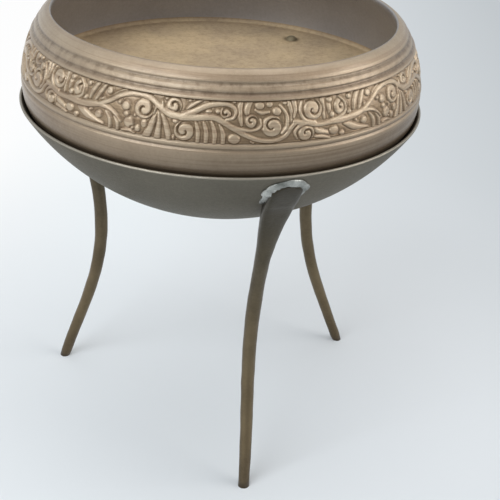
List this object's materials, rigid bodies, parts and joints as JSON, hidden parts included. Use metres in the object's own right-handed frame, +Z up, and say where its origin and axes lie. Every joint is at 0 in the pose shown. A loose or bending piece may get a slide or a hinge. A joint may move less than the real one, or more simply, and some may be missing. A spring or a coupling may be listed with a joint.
{
  "type": "incense burner",
  "caption": "Round brass incense bowl with a carved scroll band, loose in a thin round dish on three curved legs.",
  "frame": {"origin": "on the bowl's axis, at the level the three feet stand on", "axes": "+Z up along the bowl's axis, -Y towards the front leg, +X to the right as seen from the front"},
  "size_m": [0.15, 0.15, 0.167],
  "materials": {
    "bowl_brass": "worn cast brass, dull and lightly polished on the raised carving",
    "dish_brass": "dark tarnished sheet with a bright worn rim",
    "leg_brass": "forged rod, tarnished dark at the top and yellow lower down",
    "solder": "dull grey solder",
    "plug_brass": "dark brown dome"
  },
  "bodies": {
    "stand": {"stand_dish": "dish_brass", "leg_front": "leg_brass", "leg_left": "leg_brass", "leg_right": "leg_brass", "solder_front": "solder", "solder_left": "solder", "solder_right": "solder"},
    "bowl": {"bowl": "bowl_brass", "floor_plug": "plug_brass"}
  },
  "joints": [
    {"name": "bowl_lift", "type": "slide", "parent": "stand", "child": "bowl", "axis": [0, 0, 1], "range_m": [0, 0.06]}
  ]
}
